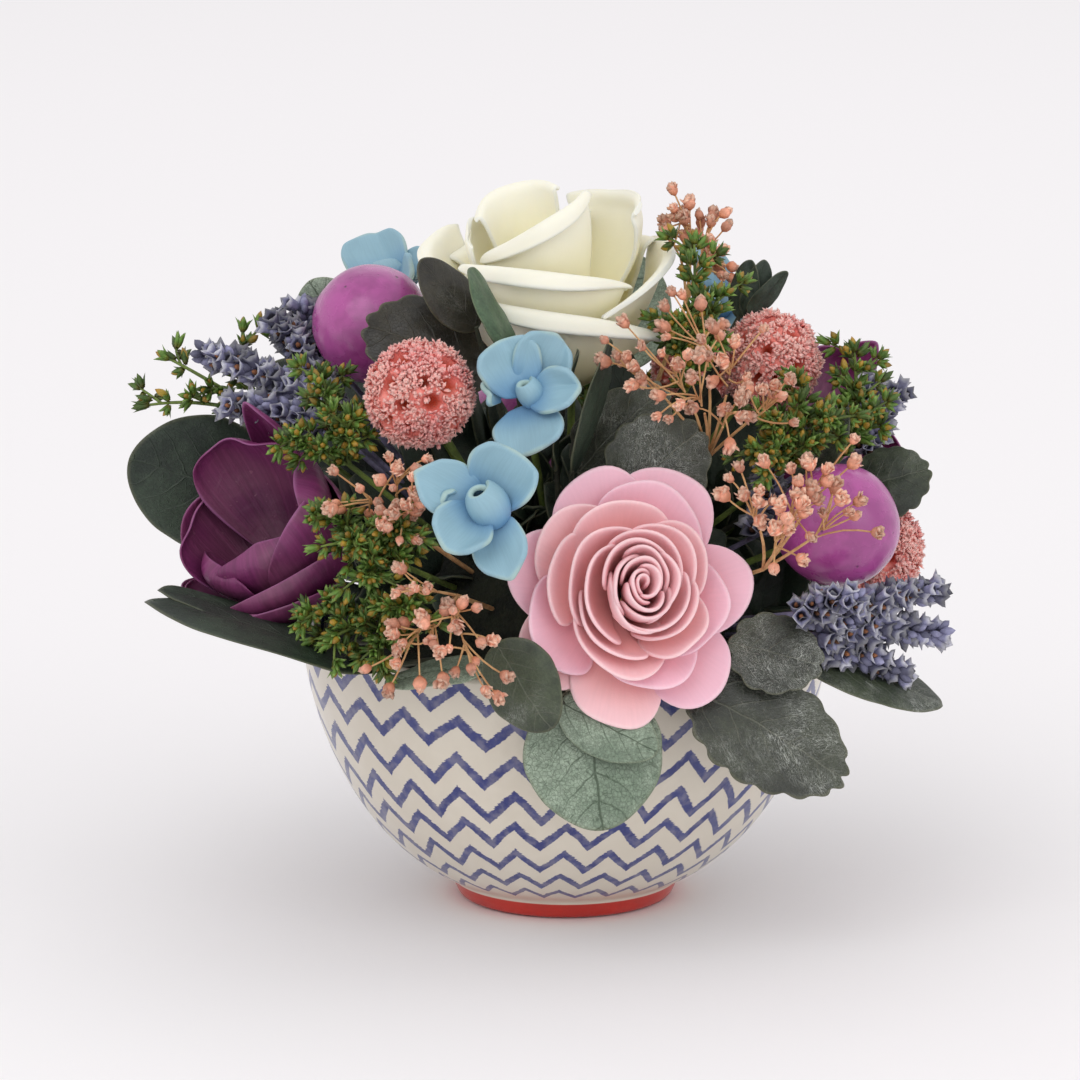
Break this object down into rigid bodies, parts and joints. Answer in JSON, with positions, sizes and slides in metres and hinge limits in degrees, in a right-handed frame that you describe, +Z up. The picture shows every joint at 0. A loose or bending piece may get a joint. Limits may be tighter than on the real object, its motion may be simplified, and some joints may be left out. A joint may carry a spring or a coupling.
{
  "type": "dried flower bowl arrangement",
  "caption": "Dried and preserved flowers, balls, herb sprays and leaves in floral foam, filling a round footed bowl with a zigzag pattern.",
  "frame": {"origin": "on the floor, under the middle of the arrangement's bounding box; the bowl's axis is 9 mm towards +X of it", "axes": "+Z up, -Y the side the picture shows, +X to the right of that side"},
  "size_m": [0.2324, 0.2142, 0.2059],
  "materials": {
    "blue_bloom_back_left": "dyed carved pith, matt",
    "blue_bloom_back_right": "dyed carved pith, matt",
    "blue_bloom_lower": "dyed carved pith, matt",
    "blue_bloom_upper": "dyed carved pith, matt",
    "bowl": "gloss glaze",
    "coral_ball_back": "dyed, fibrous",
    "coral_ball_left": "dyed, fibrous",
    "coral_ball_right": "dyed, fibrous",
    "coral_ball_top_right": "dyed, fibrous",
    "floral_foam": "matt open-cell foam",
    "herb_back": "dried",
    "herb_far_left": "dried",
    "herb_left_low": "dried",
    "herb_left_middle": "dried",
    "herb_left_top": "dried",
    "herb_right": "dried",
    "herb_right_outer": "dried",
    "herb_top": "dried",
    "lavender_back": "dried",
    "lavender_left_long": "dried",
    "lavender_left_upright": "dried",
    "lavender_right_low": "dried",
    "lavender_right_upper": "dried",
    "leaf_back_left": "preserved leaf",
    "leaf_back_low": "preserved leaf",
    "leaf_back_right": "preserved leaf",
    "leaf_back_upper": "preserved leaf",
    "leaf_behind_ball": "preserved leaf",
    "leaf_behind_rose": "preserved leaf",
    "leaf_big_scalloped": "preserved leaf",
    "leaf_dark_top": "preserved leaf",
    "leaf_edge_pair": "preserved leaf",
    "leaf_far_left": "preserved leaf",
    "leaf_front_hanging": "preserved leaf",
    "leaf_front_left": "preserved leaf",
    "leaf_front_small": "preserved leaf",
    "leaf_frosted": "preserved leaf",
    "leaf_left_side": "preserved leaf",
    "leaf_low_left": "preserved leaf",
    "leaf_narrow_green": "preserved leaf",
    "leaf_on_rim": "preserved leaf",
    "leaf_right_dark": "preserved leaf",
    "leaf_right_middle": "preserved leaf",
    "leaf_right_pointing": "preserved leaf",
    "leaf_right_side": "preserved leaf",
    "leaf_scalloped": "preserved leaf",
    "leaf_top_right": "preserved leaf",
    "magenta_ball_back": "dyed, satin",
    "magenta_ball_left": "dyed, satin",
    "magenta_ball_right": "dyed, satin",
    "peach_spray_back": "dried",
    "peach_spray_left": "dried",
    "peach_spray_low": "dried",
    "peach_spray_middle": "dried",
    "peach_spray_right": "dried",
    "peach_spray_top": "dried",
    "pink_rose": "thin shaved pith, matt",
    "purple_bloom_left": "preserved petals, satin",
    "purple_bloom_right": "preserved petals, satin",
    "white_rose": "soft foam petals"
  },
  "bodies": {
    "root": {"blue_bloom_back_left": "blue_bloom_back_left", "blue_bloom_back_right": "blue_bloom_back_right", "blue_bloom_lower": "blue_bloom_lower", "blue_bloom_upper": "blue_bloom_upper", "bowl": "bowl", "coral_ball_back": "coral_ball_back", "coral_ball_left": "coral_ball_left", "coral_ball_right": "coral_ball_right", "coral_ball_top_right": "coral_ball_top_right", "floral_foam": "floral_foam", "herb_back": "herb_back", "herb_far_left": "herb_far_left", "herb_left_low": "herb_left_low", "herb_left_middle": "herb_left_middle", "herb_left_top": "herb_left_top", "herb_right": "herb_right", "herb_right_outer": "herb_right_outer", "herb_top": "herb_top", "lavender_back": "lavender_back", "lavender_left_long": "lavender_left_long", "lavender_left_upright": "lavender_left_upright", "lavender_right_low": "lavender_right_low", "lavender_right_upper": "lavender_right_upper", "leaf_back_left": "leaf_back_left", "leaf_back_low": "leaf_back_low", "leaf_back_right": "leaf_back_right", "leaf_back_upper": "leaf_back_upper", "leaf_behind_ball": "leaf_behind_ball", "leaf_behind_rose": "leaf_behind_rose", "leaf_big_scalloped": "leaf_big_scalloped", "leaf_dark_top": "leaf_dark_top", "leaf_edge_pair": "leaf_edge_pair", "leaf_far_left": "leaf_far_left", "leaf_front_hanging": "leaf_front_hanging", "leaf_front_left": "leaf_front_left", "leaf_front_small": "leaf_front_small", "leaf_frosted": "leaf_frosted", "leaf_left_side": "leaf_left_side", "leaf_low_left": "leaf_low_left", "leaf_narrow_green": "leaf_narrow_green", "leaf_on_rim": "leaf_on_rim", "leaf_right_dark": "leaf_right_dark", "leaf_right_middle": "leaf_right_middle", "leaf_right_pointing": "leaf_right_pointing", "leaf_right_side": "leaf_right_side", "leaf_scalloped": "leaf_scalloped", "leaf_top_right": "leaf_top_right", "magenta_ball_back": "magenta_ball_back", "magenta_ball_left": "magenta_ball_left", "magenta_ball_right": "magenta_ball_right", "peach_spray_back": "peach_spray_back", "peach_spray_left": "peach_spray_left", "peach_spray_low": "peach_spray_low", "peach_spray_middle": "peach_spray_middle", "peach_spray_right": "peach_spray_right", "peach_spray_top": "peach_spray_top", "pink_rose": "pink_rose", "purple_bloom_left": "purple_bloom_left", "purple_bloom_right": "purple_bloom_right", "white_rose": "white_rose"}
  },
  "joints": []
}
